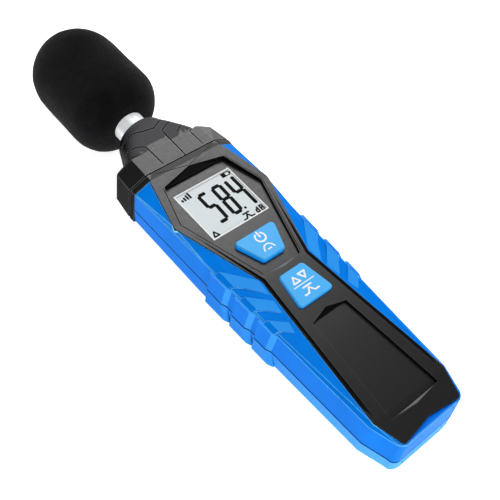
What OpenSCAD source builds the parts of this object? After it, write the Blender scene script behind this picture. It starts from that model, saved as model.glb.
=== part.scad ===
// Hand-held sound level meter, lying on its back.
// +Z out of the front panel, +Y towards the microphone, origin in the mouth of the tripod socket.

/* [Case] */
// Width of the case at the collar joint
head_w = 50.7; // [48:0.1:54]
// Width of the case where the tail starts to narrow
bend_w = 40.3; // [38:0.1:44]
// Width of the tail face
tail_w = 32.4; // [30:0.1:36]
// Height of the front edge of the side walls above the back face
edge_h = 22.7; // [22:0.1:24]
// Thickness of the case walls
wall_t = 2; // [1.6:0.1:2.4]
// How far the grip ribs stand out of the side walls
rib_h = 1.0; // [0.6:0.1:1.2]

/* [Lengths along the case] */
// Joint between the case and the collar
joint_y = 37.4; // [36:0.1:39]
// Widest place of the front panel
shoulder_y = 13.7; // [12:0.1:15]
// Narrow waist of the front panel
waist_y = -24.7; // [-26:0.1:-23]
// Place where the tail starts to narrow
bend_y = -91; // [-93:0.5:-89]
// Tail face
tail_y = -103.5; // [-105:0.5:-102]

/* [Display] */
// Width of the display window
lcd_w = 28.7; // [26:0.1:30]
// Length of the display window
lcd_l = 26.2; // [24:0.1:28]
// Distance of the display centre from the tripod socket
lcd_y = 14; // [13:0.1:15]
// Height of the display window above the back face
lcd_z = 24; // [23.8:0.1:24.2]

/* [Buttons] */
// Height of the button tops above the back face
button_top_z = 26; // [25.6:0.1:26.4]
// How far a button travels
button_travel = 0.8; // [0.4:0.1:0.8]
// Gap around each button cap
button_gap = 0.2; // [0.15:0.05:0.3]

/* [Microphone] */
// Radius of the microphone tube
tube_r = 7.1; // [6.6:0.1:7.4]
// Height of the microphone axis above the back face
mic_z = 13.8; // [13.5:0.1:14]
// Radius of the foam windscreen
foam_r = 21.4; // [19:0.1:22]
// Rounding of the windscreen's open end
foam_base_r = 13.9; // [8:0.1:14]
// Distance of the windscreen's open end from the tripod socket
foam_y = 76.2; // [75:0.1:80]
// Length of the windscreen
foam_l = 59.2; // [52:0.1:62]

/* [Batteries] */
// Diameter of one AAA cell
cell_d = 10.5; // [10.2:0.1:10.5]
// Length of one AAA cell
cell_l = 44.5; // [44:0.1:44.5]
// Distance of the cells' tail ends from the tripod socket
cell_y = -86.5; // [-87:0.1:-86]

/* [Tripod socket] */
// Radius of the 1/4 inch tripod thread
tripod_r = 3.175; // [3.175]
// Depth of the tripod thread
tripod_l = 7; // [6:0.5:8]

/* [Hidden] */

$fn = 64;
eps = 0.01;

// Colours
blue = "#1e7ae6";
key_blue = "#4faef0";
dark = "#3a3a3d";
black = "#1c1c1e";
board_green = "#1f6b45";

// Stations where the case changes shape, from tail to collar
slope_y = -4;
tail_round = [[tail_y, 1.9], [tail_y + 0.35, 1.2], [tail_y + 1, 0.5], [tail_y + 1.8, 0.1], [tail_y + 2.6, 0]];
case_stations = concat([for (p = tail_round) p[0]], [bend_y, waist_y, slope_y, shoulder_y, joint_y]);
tail_lean = 0.07;
shelf_z = 20.3;
floor_t = 1.8;
seam_gap = 0.22;
seam_depth = 0.7;
edge_cut = 0.35;
back_h = 3.2;
foot_draft = 0.6;
flat_inset = 3;

function wall_x(y) = lookup(y, [[tail_y, tail_w / 2], [bend_y, bend_w / 2], [joint_y, head_w / 2]])
                     - (y > bend_y ? 0 : lookup(y, tail_round));
function edge_z(y) = edge_h + lookup(y, [[tail_y, -0.3], [waist_y, 0], [shoulder_y, 0.3], [joint_y, -0.1]]);
function seam_z(y) = lookup(y, [[bend_y, 9.7], [waist_y, 10.3], [shoulder_y, 12], [joint_y, 13.1]]);
function back_z(y) = lookup(y, [[tail_y, 2], [tail_y + 3, 0], [slope_y, 0], [joint_y, back_h]]);
function foot_z(y) = lookup(y, [[tail_y, 3.6], [tail_y + 3, 2.3], [slope_y, 2.3], [joint_y, 5.6]]);
function back_x(y) = wall_x(y) - flat_inset;

// The front panel: half its outline, and the height of its face
panel_head_y = 39.9;
tail_corner = [13.67, -101.19];
tail_corner_r = 1.6;
panel_half = concat(
    [[15.6, panel_head_y], [18.4, 36.6], [23.6, 15.4], [23.85, shoulder_y], [23.6, 12], [12.2, waist_y], [18.6, bend_y]],
    [for (i = [0 : 5]) let (a = -18 - 16.2 * i) tail_corner + tail_corner_r * [cos(a), sin(a)]]);
panel_notch = [0, -100.8];
panel_floor_z = 21.8;
panel_tail_floor_z = 21;
function panel_x(y) = lookup(y, [[tail_y, 12.6], [tail_y + 2.6, 15.2], [bend_y, 18.6], [waist_y, 12.2], [shoulder_y, 23.75],
                                 [36.6, 18.4], [joint_y, 17.4]]);
function face_z(y) = lookup(y, [[tail_y, 23.1], [bend_y, 23.8], [waist_y, 25.1], [shoulder_y, 25.5],
                                [joint_y, 26.5], [panel_head_y, 26.9]]);
function blue_z(y) = face_z(y) + lookup(y, [[tail_y, -0.5], [bend_y, -0.2], [shoulder_y, -0.35], [joint_y, -0.2]]);

// Buttons: half outline corners, head side first, and where their switches are
power_corners = [[9.8, -5.3], [5.9, -18.4]];
mode_corners = [[6.4, -27.1], [8.4, -42.6]];
key_round = 1.6;
key_floor_z = 20.9;
power_key_y = -11.5;
mode_key_y = -34.5;

// Boards and screws
board_top_z = 17;
glass_z = 21.55;
board_t = 1.6;
head_screw = [19.3, 29];
tail_screw = [8.6, -98];
board_screw = [12.5, 31.2];

// Grip ribs: where each starts and ends on the side wall, and how far its top sweeps back over the bevel
rib_count = 3;
rib_ramp = 2.4;
rib_reach = [12.2, 8, 5.4];
rib_top = 0.75;
function rib_y0(k) = -9 - 14.9 * k + 0.7 * k * k;
function rib_y1(k) = rib_y0(k) - 9 + k;
function rib_stations(k) = [rib_y1(k) - rib_ramp, rib_y1(k), rib_y0(k), rib_y0(k) + 0.5];

// Battery bay
bay_x = 15.9;
cover_half = [[16.7, -39.2], [16.7, -90], [14, -93.5], [5, -93.5], [5, -98.8]];
cover_screw_y = -96;
bay_y0 = -91.5;
bay_y1 = -40.5;
bay_top_z = 13.4;
plate_t = 0.5;
spring_l = cell_y - bay_y0 - plate_t;
cover_t = 1.6;
cell_pitch = 10.55;
cell_z = cover_t + 0.4 + cell_d / 2;

// Microphone stem
tube_y0 = 56;
tube_y1 = 112;
tube_t = 0.9;
grid_l = 4;
fit_gap = 0.05;
seal_y = 65;
collar_y = 40.9;
collar_end_y = 51;

// ---------- shared shapes ----------

// A closed skin through rings with the same number of points, from the tail end to the head end
module loft(rings) {
    n = len(rings[0]);
    m = len(rings);
    pts = [for (r = rings) each r];
    sides = [for (i = [0 : m - 2], j = [0 : n - 1])
        let (a = i * n + j, b = i * n + (j + 1) % n, c = a + n, d = b + n)
        each norm(pts[a] - pts[d]) <= norm(pts[b] - pts[c]) ? [[a, b, d], [a, d, c]] : [[a, b, c], [b, d, c]]];
    polyhedron(
        points = pts,
        faces = concat([[for (j = [n - 1 : -1 : 0]) j]], sides, [[for (j = [0 : n - 1]) (m - 1) * n + j]]),
        convexity = 6);
}

// A ring at y from the right half of a section, given as [x, z] from bottom to top
function ring(half, y, lean = 0) =
    concat([for (p = half) [p[0], y + lean * p[1], p[1]]],
           [for (i = [len(half) - 1 : -1 : 0]) [-half[i][0], y + lean * half[i][1], half[i][1]]]);

// The polygon of a right half outline and its mirror image
function both_sides(half) = concat(half, [for (i = [len(half) - 1 : -1 : 0]) [-half[i][0], half[i][1]]]);

// Everything between two heights that both vary along the case, given as [y, z] from tail to head
module between(low, high) {
    rotate([90, 0, 90])
        linear_extrude(height = 80, center = true)
            polygon(concat(low, [for (i = [len(high) - 1 : -1 : 0]) high[i]]));
}

module on_mic_axis(y) {
    translate([0, y, mic_z]) rotate([-90, 0, 0]) children();
}

module both() {
    children();
    mirror([1, 0, 0]) children();
}

// Stretched corner posts of a button, used for its cap and for the hole around it
module key_shape(corners, grow, z0, z1) {
    hull()
        for (s = [-1, 1], c = corners)
            translate([s * (c[0] - key_round), c[1] + (c == corners[0] ? -key_round : key_round), z0])
                cylinder(r = key_round + grow, h = z1 - z0, $fn = 32);
}

// A wedge with a straight low edge and a pointed high edge
module vee_cut(half_w, edge_y, peak_y, z_low, z_high) {
    up = 6;
    polyhedron(
        points = [[-half_w, edge_y, z_low], [half_w, edge_y, z_low],
                  [-half_w, edge_y, z_high + up], [half_w, edge_y, z_high + up],
                  [0, peak_y, z_high], [0, peak_y, z_high + up]],
        faces = peak_y > edge_y
            ? [[2, 3, 1, 0], [1, 4, 0], [5, 3, 2], [3, 5, 4, 1], [4, 5, 2, 0]]
            : [[1, 3, 2, 0], [4, 1, 0], [3, 5, 2], [4, 5, 3, 1], [2, 5, 4, 0]]);
}

// ---------- case ----------

// The right half of each shell's section at y
function front_half(y) = let (x = wall_x(y), e = edge_z(y), s = seam_z(y))
    [[x, s], [x, e - edge_cut], [x - edge_cut, e], [panel_x(y), blue_z(y)]];

function rear_half(y) = let (x = wall_x(y), s = seam_z(y))
    [[back_x(y), back_z(y)], [x - foot_draft, foot_z(y)], [x, s]];

// The rings of the rounded tail lean back towards their foot
function case_ring(half, y) =
    y < tail_y + 2.5 ? ring(half, y - tail_lean * edge_h, tail_lean) : ring(half, y);

// Height of the blue bevel at a place on it
function bevel_z(x, y) =
    lookup(x, [[panel_x(y), blue_z(y)], [wall_x(y) - edge_cut, edge_z(y)]]);

// One shell's half of the groove along the seam, between two heights above the seam
module seam_groove(low, high) {
    stations = [tail_y - 4, bend_y, waist_y, shoulder_y, joint_y + 2];
    difference() {
        between([for (y = stations) [y, seam_z(y) + low]], [for (y = stations) [y, seam_z(y) + high]]);
        loft([for (y = [tail_y - 0.2, tail_y + 0.8, tail_y + 2.6, bend_y, joint_y + 3])
            ring([[wall_x(y) - seam_depth, 0], [wall_x(y) - seam_depth, 30]], y)]);
    }
}

// One grip rib's step out of the side wall, between two heights at each y, its tail ramp slanting with height
module rib_side(k, lows, highs, slant_low, slant_high) {
    stations = rib_stations(k);
    rise = [0, rib_h, rib_h, 0];
    loft([for (i = [0 : 3])
        let (y = stations[i], x = wall_x(y), tail = i < 2 ? 1 : 0,
             yl = y + tail * slant_low, yh = y + tail * slant_high)
        [[x - 0.6, yl, lows[i]], [x - eps + rise[i], yl, lows[i]],
         [x - eps + rise[i], yh, highs[i]], [x - 0.6, yh, highs[i]]]]);
}

// One grip rib's swept top on the bevel: a raised edge at the wall that runs out flush by the panel
module rib_cap(k) {
    inset = 1.5;
    clear = 0.4 + 0.5 * k;
    loft([for (s = [[rib_y1(k) - 1.3, 1], [rib_y0(k) - 2.4, 0]])
        let (y = s[0], yi = y - rib_reach[k] + s[1], x = wall_x(y), xi = panel_x(yi) + clear + 0.3 * s[1])
        [[x - 0.6, y, edge_z(y) - 1.5], [x + rib_h - 0.3, y + 0.6, edge_z(y) - 0.4],
         [x - inset, y, bevel_z(x - inset, y) + rib_top], [xi, yi, bevel_z(xi, yi) + 0.04],
         [xi, yi, bevel_z(xi, yi) - 1.5]]]);
}

// The front panel's outline, grown or shrunk sideways and at its ends
module panel_plan(grow, z0, z1) {
    half = [for (p = panel_half) [p[0] + grow, p[1] + (p[1] > 0 ? grow : -grow)]];
    right = concat(half, [[panel_notch[0], panel_notch[1] - grow]]);
    left = [for (i = [len(half) - 1 : -1 : 0]) [-half[i][0], half[i][1]]];
    translate([0, 0, z0]) linear_extrude(height = z1 - z0) polygon(concat(right, left));
}

face_stations = [tail_y - 2, tail_y, bend_y, waist_y, shoulder_y, joint_y, panel_head_y, panel_head_y + 3];
panel_floor = [[tail_y - 2, panel_tail_floor_z], [waist_y, panel_floor_z], [panel_head_y + 3, panel_floor_z]];

module rear_shell() {
    color(blue)
    difference() {
        union() {
            difference() {
                loft([for (y = case_stations) case_ring(rear_half(y), y)]);
                loft([for (y = [tail_y + wall_t + 0.2, bend_y, slope_y, joint_y + 1])
                    ring([[wall_x(y) - wall_t - 0.4, back_z(y) + floor_t],
                          [wall_x(y) - wall_t, seam_z(y) + 1]], y)]);
            }
            // battery bay walls and roof
            translate([-bay_x - 1.5, bay_y0 - 1.5, floor_t - eps])
                cube([2 * bay_x + 3, bay_y1 - bay_y0 + 3, bay_top_z + 1.5 - floor_t]);
            // pad over the tab of the battery cover, with the boss of its screw
            translate([-15, -99.6, 1]) cube([30, 7, 2.6]);
            translate([0, cover_screw_y, 1]) cylinder(r = 2.8, h = 6);
            // tripod boss
            cylinder(r = 7, h = 9.5);
            // screw bosses
            both() {
                translate([head_screw[0], head_screw[1], 4]) cylinder(r = 3.3, h = seam_z(head_screw[1]) - 4);
                translate([tail_screw[0], tail_screw[1], 1.5]) cylinder(r = 3.2, h = seam_z(tail_screw[1]) - 1.5);
                // board posts
                translate([board_screw[0], board_screw[1], 4]) cylinder(r = 2.2, h = board_top_z - board_t - 4);
                translate([11.5, -47, bay_top_z + 1]) cylinder(r = 2.2, h = board_top_z - board_t - bay_top_z - 1);
            }
            both()
                for (k = [0 : rib_count - 1])
                    rib_side(k, [for (y = rib_stations(k)) foot_z(y)],
                             [for (y = rib_stations(k)) seam_z(y) + 0.1], -2, 0.8);
        }
        seam_groove(-seam_gap, 1);
        // battery bay, its opening and the seat of its cover
        translate([-bay_x, bay_y0, -1]) cube([2 * bay_x, bay_y1 - bay_y0, bay_top_z + 1]);
        translate([0, 0, -1]) linear_extrude(height = cover_t + 1)
            polygon(both_sides([for (p = cover_half) [p[0] + 0.15, p[1] + (p[1] > bay_y1 ? 0.15 : -0.15)]]));
        // holes for the battery wires
        both() translate([10.55, bay_y1 - 1, 9]) rotate([-90, 0, 0]) cylinder(r = 0.8, h = 4);
        // tripod nut
        translate([0, 0, -1]) cylinder(r = 4.6 + fit_gap, h = tripod_l + 2);
        // case screws and board screws
        both() {
            for (p = [head_screw, tail_screw]) {
                translate([p[0], p[1], -1]) cylinder(r = 1.35, h = 20);
                translate([p[0], p[1], -1]) cylinder(r = 2.8, h = 4 + back_z(p[1]));
            }
            translate([board_screw[0], board_screw[1], 8]) cylinder(r = 1.1, h = 12);
            translate([11.5, -47, bay_top_z + 0.5]) cylinder(r = 1.1, h = 4);
        }
        translate([0, cover_screw_y, -1]) cylinder(r = 1.1, h = 8);
        // pull slot and reset hole in the tail face
        translate([0, tail_y - tail_lean * edge_h + 1.2, 5.6]) rotate([90, 0, 0]) {
            linear_extrude(height = 4)
                difference() {
                    slot_plan(9.6, 1.7);
                    slot_plan(9.6, 1.2);
                }
            translate([12.6, 0.6, 0]) cylinder(r = 0.55, h = 4);
        }
    }
}

module slot_plan(half_l, r) {
    square([2 * half_l, 2 * r], center = true);
    for (s = [-1, 1]) translate([s * half_l, 0]) circle(r = r);
}

module front_shell() {
    color(blue)
    difference() {
        union() {
            difference() {
                loft([for (y = case_stations) case_ring(front_half(y), y)]);
                loft([for (y = [tail_y + wall_t, bend_y, joint_y + 1])
                    ring([[wall_x(y) - wall_t, 5], [wall_x(y) - wall_t, shelf_z]], y)]);
            }
            both() {
                for (p = [head_screw, tail_screw])
                    translate([p[0], p[1], seam_z(p[1])]) cylinder(r = 3.1, h = shelf_z + 0.2 - seam_z(p[1]));
                for (k = [0 : rib_count - 1]) {
                    rib_side(k, [for (y = rib_stations(k)) seam_z(y) - 0.1],
                             [for (y = rib_stations(k)) edge_z(y) - 0.3], 0.8, 0);
                    rib_cap(k);
                }
            }
        }
        seam_groove(-1, seam_gap);
        // seat of the front panel, and the opening under it
        intersection() {
            panel_plan(0.1, 15, 40);
            between(panel_floor, [for (y = face_stations) [y, 40]]);
        }
        panel_plan(-2.6, 10, 40);
        // facet that falls from the tail rim to the notch of the panel
        intersection() {
            translate([0, 0, 15]) linear_extrude(height = 20)
                polygon([[-12.6, tail_y + 0.5], [12.6, tail_y + 0.5], [12.6, -102], [0, -100], [-12.6, -102]]);
            between([[tail_y, edge_h - 0.25], [-100, edge_h - 1]], [[tail_y, 40], [-100, 40]]);
        }
        both()
            for (p = [head_screw, tail_screw])
                translate([p[0], p[1], 5]) cylinder(r = 1.2 + fit_gap, h = 13);
    }
}

module front_panel() {
    recess = [[15.3, 31.75], [20.6, shoulder_y - 0.2], [8.9, -23.2]];
    low_recess = [[8.6, -49.4], [12.3, -93.8]];
    low_depth = 1.2;
    rim_start = shoulder_y - 5;
    rim_path = [[bend_y + 2, 0], [-84, 0.4], [waist_y, 0.65], [rim_start, 0]];
    rim_w = 1.6;
    line_w = 0.35;
    line_depth = 0.5;
    color(dark)
    difference() {
        intersection() {
            panel_plan(0, 15, 40);
            between(panel_floor, [for (y = face_stations) [y, face_z(y)]]);
        }
        // fine groove round the display recess
        intersection() {
            linear_extrude(height = 34)
                intersection() {
                    difference() {
                        offset(delta = line_w + 0.3) polygon(both_sides(recess));
                        offset(delta = 0.3) polygon(both_sides(recess));
                    }
                    translate([-30, -22.6]) square([60, 54]);
                }
            between([for (y = face_stations) [y, face_z(y) - line_depth]], [for (y = face_stations) [y, 34]]);
        }
        // display recess with its visor, and the step at its foot
        translate([0, 0, lcd_z]) linear_extrude(height = 10) polygon(both_sides(recess));
        vee_cut(15.3, 31.7, 35.4, lcd_z + 1, face_z(35.4));
        vee_cut(8.9, -23.1, -24.4, lcd_z + 0.35, face_z(waist_y));
        // plain recess below the buttons
        intersection() {
            translate([0, 0, 15]) linear_extrude(height = 20) polygon(both_sides(low_recess));
            between([for (y = face_stations) [y, face_z(y) - low_depth]], [for (y = face_stations) [y, 40]]);
        }
        vee_cut(8.6, -49.5, -47, face_z(-49.5) - low_depth + 0.1, face_z(-47));
        vee_cut(12.3, -93.7, -94.9, face_z(-93.7) - low_depth + 0.1, face_z(-94.9));
        // sloped gutter along the flanks, deepest at the waist
        both()
            loft([for (p = rim_path)
                let (y = p[0], x = panel_x(y), z = face_z(y), slope = p[1] / rim_w)
                [[x - rim_w, y, z - p[1] - eps], [x + 1, y, z + slope - eps], [x + 1, y, z + 3], [x - rim_w, y, z + 3]]]);
        // crease lines from the visor to the panel's head corners
        both()
            translate([0.4, 35.6, 0]) rotate([0, 0, 14])
                translate([0, -0.15, 26.1]) rotate([0, -1.6, 0]) cube([15, 0.3, 3]);
        // display opening and the pocket of its holder
        translate([-lcd_w / 2, lcd_y - lcd_l / 2, 20]) cube([lcd_w, lcd_l, 10]);
        translate([-16.7, lcd_y - 15.2, 20]) cube([33.4, 30.4, 3.4]);
        // button holes
        key_shape(power_corners, button_gap, 20, 40);
        key_shape(mode_corners, button_gap, 20, 40);
        // hollow under the head
        translate([-12, 32.4, 20]) cube([24, 5.6, 4.4]);
    }
}

// ---------- display ----------

module display_lens() {
    lens_t = 0.5;
    color([0.85, 0.92, 0.95, 0.35])
    translate([-lcd_w / 2 + 0.1, lcd_y - lcd_l / 2 + 0.1, lcd_z - 0.05 - lens_t])
        cube([lcd_w - 0.2, lcd_l - 0.2, lens_t]);
}

module display_glass() {
    color("#d5dcdf")
    translate([-15.5, lcd_y - 14, glass_z]) cube([31, 28, 1.8]);
}

module display_holder() {
    holder_h = 6.2;
    color("white")
    difference() {
        translate([-16.5, lcd_y - 15, board_top_z]) cube([33, 30, holder_h]);
        translate([-15.6, lcd_y - 14.1, board_top_z - 1]) cube([31.2, 28.2, holder_h + 2]);
    }
}

module zebra_strips() {
    color("#c97f8c")
    for (s = [-1, 1])
        translate([-14, lcd_y + s * 13 - 1, board_top_z]) cube([28, 2, glass_z - board_top_z]);
}

// ---------- buttons and boards ----------

module key_cap(corners) {
    crown = 0.5;
    color(key_blue) {
        hull() {
            key_shape(corners, 0, key_floor_z, button_top_z - crown);
            key_shape(corners, -crown, key_floor_z, button_top_z);
        }
        key_shape(corners, 0.8, key_floor_z, key_floor_z + 0.7);
    }
}

module power_button() key_cap(power_corners);
module mode_button() key_cap(mode_corners);

module tact_switch(y) {
    stem_top = key_floor_z - button_travel - 0.1;
    color("#555")
    translate([0, y, board_top_z]) {
        translate([-3, -3, 0]) cube([6, 6, 2.4]);
        cylinder(r = 1.7, h = stem_top - board_top_z);
    }
}

module power_switch() tact_switch(power_key_y);
module mode_switch() tact_switch(mode_key_y);

module main_board() {
    board_half = [[15.2, 33.6], [15.2, 25], [19, 20], [20.5, 4], [15, -20], [14, -52]];
    color(board_green)
    difference() {
        translate([0, 0, board_top_z - board_t]) linear_extrude(height = board_t) polygon(both_sides(board_half));
        both() {
            translate([board_screw[0], board_screw[1], 10]) cylinder(r = 1.1, h = 10);
            translate([11.5, -47, 10]) cylinder(r = 1.1, h = 10);
        }
    }
}

module board_screws() {
    color("silver")
    both()
        for (p = [[board_screw[0], board_screw[1], 7.3], [11.5, -47, 2.4]]) {
            translate([p[0], p[1], board_top_z]) cylinder(r = 2.1, h = 1.2);
            translate([p[0], p[1], board_top_z - p[2]]) cylinder(r = 1.1, h = p[2]);
        }
}

module meter_chips() {
    color("#222")
    for (c = [[-7, 17, 10, 10], [7, 12, 7, 5], [-4, -45, 8, 6], [6, -20, 5, 5]])
        translate([c[0] - c[2] / 2, c[1] - c[3] / 2, board_top_z]) cube([c[2], c[3], 1.5]);
}

// ---------- microphone ----------

nose_stations = [[50.5, 17.6, 12.2, 5], [53.8, 17.3, 12.15, 5], [57.5, 15.6, 12.1, 4], [61.3, 14, 12, 3],
                 [64, 12.9, 11.95, 2.4], [65.8, 12.3, 11.75, 2], [67.6, 11.5, 11.3, 2], [68.8, 10.5, 10.4, 2],
                 [69.5, 9.3, 9.3, 2], [69.8, 8.2, 8.2, 2]];
nose_sides = 40;

// A rounded ring about the microphone axis; a power of 2 is an ellipse, and higher ones are squarer
function nose_ring(s, inset) = [for (i = [0 : nose_sides - 1])
    let (t = 360 * (i + 0.5) / nose_sides - 90, c = cos(t), q = sin(t), p = 2 / s[3])
    [(s[1] - inset) * sign(c) * pow(abs(c), p), s[0], mic_z + (s[2] - inset) * sign(q) * pow(abs(q), p)]];

// Collar sections: y, half width of the wall, edge of the wall, half width and height of the facet
function collar_ring(y, w, e, fw, fz, inset) =
    ring([[fw - inset, 2 * mic_z - fz + inset], [w - inset, 2 * mic_z - e + inset],
          [w - inset, e - inset * 0.6], [fw - inset * 0.4, fz - inset]], y);

module nose_body(inset) {
    loft([collar_ring(joint_y, 25.1, 22.4, 17.4, 26.1, inset),
          collar_ring(joint_y + 0.3, 25.4, 22.5, 17.5, 26.3, inset),
          collar_ring(collar_y - 0.7, 25.45, 22.4, 17.5, 26.3, inset),
          collar_ring(collar_y - 0.6, 24.7, 21.7, 17.2, 25.5, inset),
          collar_ring(collar_y - 0.1, 24.7, 21.7, 17.2, 25.5, inset),
          collar_ring(collar_y, 25.5, 22.2, 17.6, 26.3, inset),
          collar_ring(collar_end_y, 24.5, 21.4, 17.3, 26.05, inset),
          collar_ring(collar_end_y + 1.3, 22.9, 20.6, 16.4, 25.2, inset)]);
    loft([for (s = nose_stations) nose_ring(s, inset)]);
}

// A path of straight strokes in plan, as a cutting blade through the whole height
module blade(path, w) {
    translate([0, 0, -5]) linear_extrude(height = 40)
        for (i = [0 : len(path) - 2]) {
            step = path[i + 1] - path[i];
            translate(path[i]) rotate(atan2(step[1], step[0])) translate([0, -w / 2]) square([norm(step), w]);
            translate(path[i + 1]) circle(d = w);
        }
}

module nose_housing() {
    groove = 0.55;
    color(black)
    difference() {
        union() {
            nose_body(groove);
            difference() {
                nose_body(0);
                blade([[-20, 60.6], [-13.4, 57.3], [-8.2, 53.6], [-8.1, 42]], 0.7);
                blade([[18, 64], [7, 59.6], [2.9, 57.3], [2.5, 41.2]], 0.7);
                blade([[20, 54.4], [12.4, 50.6], [12.5, 42]], 0.6);
                blade([[20, 60.4], [8, 53.7]], 0.7);
                blade([[-18, 68.4], [-11.9, 64.6], [-7.8, 63.6], [-4.4, 61.6], [1.2, 60.4], [6.5, 63.4], [18, 68.6]],
                      0.8);
            }
            // tongues that key the collar into the case
            both() translate([20, 33, 8]) cube([2.4, 6, 10.5]);
        }
        // room for the microphone board, and the bore of the tube with its seal groove
        translate([-13.5, joint_y - 1, mic_z - 8]) cube([27, 19.5, 16]);
        on_mic_axis(54) cylinder(r = tube_r + fit_gap, h = 30);
        on_mic_axis(seal_y) cylinder(r = tube_r + 0.8, h = 1.5);
        // the front panel's head reaches over the collar's root
        intersection() {
            panel_plan(0.1, 15, 40);
            between(panel_floor, [for (y = face_stations) [y, 40]]);
        }
    }
}

module mic_tube() {
    color("silver")
    on_mic_axis(tube_y0)
        difference() {
            cylinder(r = tube_r, h = tube_y1 - tube_y0);
            translate([0, 0, -1]) cylinder(r = tube_r - tube_t, h = tube_y1 - tube_y0 + 2);
        }
}

module mic_grid() {
    holes = 6;
    color("#b8bcc0")
    on_mic_axis(tube_y1)
        difference() {
            cylinder(r = tube_r, h = grid_l);
            translate([0, 0, -1]) cylinder(r = tube_r - tube_t, h = grid_l);
            translate([0, 0, grid_l - 2]) cylinder(r = 1, h = 4);
            for (i = [0 : holes - 1])
                rotate(i * 360 / holes) translate([3.6, 0, grid_l - 2]) cylinder(r = 1, h = 4);
        }
}

module mic_capsule() {
    color("#8a8f94")
    on_mic_axis(tube_y1 - 8) cylinder(r = tube_r - tube_t - fit_gap, h = 7);
}

module mic_board() {
    color(board_green)
    translate([-5, 40, mic_z - 0.6]) cube([10, 15, 1.2]);
}

module mic_wires() {
    wire_r = 0.5;
    color("#c33")
    both()
        translate([2, 0, 0]) on_mic_axis(55) cylinder(r = wire_r, h = tube_y1 - 8 - 55, $fn = 16);
}

module tube_seal() {
    color("#222")
    on_mic_axis(seal_y)
        difference() {
            cylinder(r = tube_r + 0.8, h = 1.5);
            translate([0, 0, -1]) cylinder(r = tube_r, h = 4);
        }
}

module windscreen() {
    bore_l = tube_y1 + grid_l + 0.6 - foam_y;
    color("#151515")
    on_mic_axis(foam_y)
        difference() {
            rotate_extrude($fn = 96)
                intersection() {
                    translate([0, -1]) square([foam_r + 1, foam_l + 2]);
                    union() {
                        translate([0, foam_l - foam_r]) circle(r = foam_r);
                        translate([0, foam_base_r]) square([foam_r, foam_l - foam_r - foam_base_r]);
                        translate([foam_r - foam_base_r, foam_base_r]) circle(r = foam_base_r);
                        square([foam_r - foam_base_r, foam_base_r + 1]);
                    }
                }
            translate([0, 0, -1]) cylinder(r = tube_r + 0.1, h = bore_l + 1);
        }
}

// ---------- batteries ----------

module battery(i) {
    nub_l = 1;
    color("#b08a3a")
    translate([(i - 2) * cell_pitch, cell_y, cell_z]) rotate([-90, 0, 0]) {
        cylinder(d = cell_d, h = cell_l - nub_l);
        cylinder(d = 3.8, h = cell_l);
    }
}

module battery_1() battery(1);
module battery_2() battery(2);
module battery_3() battery(3);

module battery_springs() {
    turns = 4;
    steps = 20;
    wire_r = 0.4;
    base_r = 3.9;
    tip_r = 2.4;
    sides = 6;
    color("silver")
    for (i = [-1 : 1])
        translate([i * cell_pitch, bay_y0 + plate_t, cell_z])
            loft([for (k = [0 : turns * steps])
                let (t = k / (turns * steps), a = 360 * turns * t, r = base_r + (tip_r - base_r) * t)
                [for (j = [0 : sides - 1])
                    let (q = 360 * j / sides, w = r + wire_r * cos(q))
                    [w * cos(a), wire_r + (spring_l - 2 * wire_r) * t - wire_r * sin(q), w * sin(a)]]]);
}

module battery_plates() {
    color("silver")
    for (i = [-1 : 1]) {
        translate([i * cell_pitch - 4.4, bay_y0, cell_z - 4.4]) cube([8.8, plate_t, 8.8]);
        translate([i * cell_pitch - 4.4, bay_y1 - plate_t, cell_z - 4.4]) cube([8.8, plate_t, 8.8]);
        translate([i * cell_pitch, cell_y + cell_l, cell_z]) rotate([-90, 0, 0])
            cylinder(r = 1.6, h = bay_y1 - plate_t - cell_y - cell_l);
    }
}

module battery_wires() {
    wire_r = 0.6;
    color("#c33")
    both()
        translate([10.55, 0, 0]) {
            translate([0, bay_y1, 9]) rotate([-90, 0, 0]) cylinder(r = wire_r, h = 2.6);
            translate([0, bay_y1 + 2.6, 9]) cylinder(r = wire_r, h = board_top_z - board_t - 9);
            translate([0, bay_y1 + 2.6, 9]) sphere(r = wire_r);
        }
}

module battery_cover() {
    color(blue)
    difference() {
        linear_extrude(height = cover_t) polygon(both_sides(cover_half));
        // finger grooves
        for (k = [0 : 2])
            translate([-6, -86 + 3 * k, -1]) cube([12, 1.2, 1.6]);
        translate([0, cover_screw_y, -1]) cylinder(r = 1.3, h = 5);
        translate([0, cover_screw_y, -1]) cylinder(r = 2.4, h = 1.8);
    }
}

// ---------- fasteners ----------

module case_screws() {
    color("silver")
    both()
        for (p = [head_screw, tail_screw])
            translate([p[0], p[1], back_z(p[1]) + 1.4])
                difference() {
                    union() {
                        cylinder(r = 2.6, h = 1.6);
                        cylinder(r = 1.2, h = 17.4 - back_z(p[1]) - 1.4);
                    }
                    // cross recess
                    for (a = [0, 90]) rotate(a) translate([-1.5, -0.3, -0.5]) cube([3, 0.6, 1.4]);
                }
}

module tripod_nut() {
    color("#b5953c")
    difference() {
        cylinder(r = 4.6, h = tripod_l + 1);
        translate([0, 0, -1]) cylinder(r = tripod_r, h = tripod_l + 1);
    }
}

module cover_screw() {
    color("silver")
    translate([0, cover_screw_y, 0.2])
        difference() {
            union() {
                cylinder(r = 2.2, h = 0.6);
                cylinder(r = 1.0, h = 5);
            }
            for (a = [0, 90]) rotate(a) translate([-1.3, -0.3, -0.5]) cube([2.6, 0.6, 0.9]);
        }
}

rear_shell();
front_shell();
front_panel();
nose_housing();
display_lens();
display_glass();
display_holder();
zebra_strips();
power_button();
mode_button();
power_switch();
mode_switch();
main_board();
meter_chips();
board_screws();
mic_tube();
mic_grid();
mic_capsule();
mic_board();
mic_wires();
tube_seal();
windscreen();
battery_1();
battery_2();
battery_3();
battery_springs();
battery_plates();
battery_wires();
battery_cover();
cover_screw();
case_screws();
tripod_nut();
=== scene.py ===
import math

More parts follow.
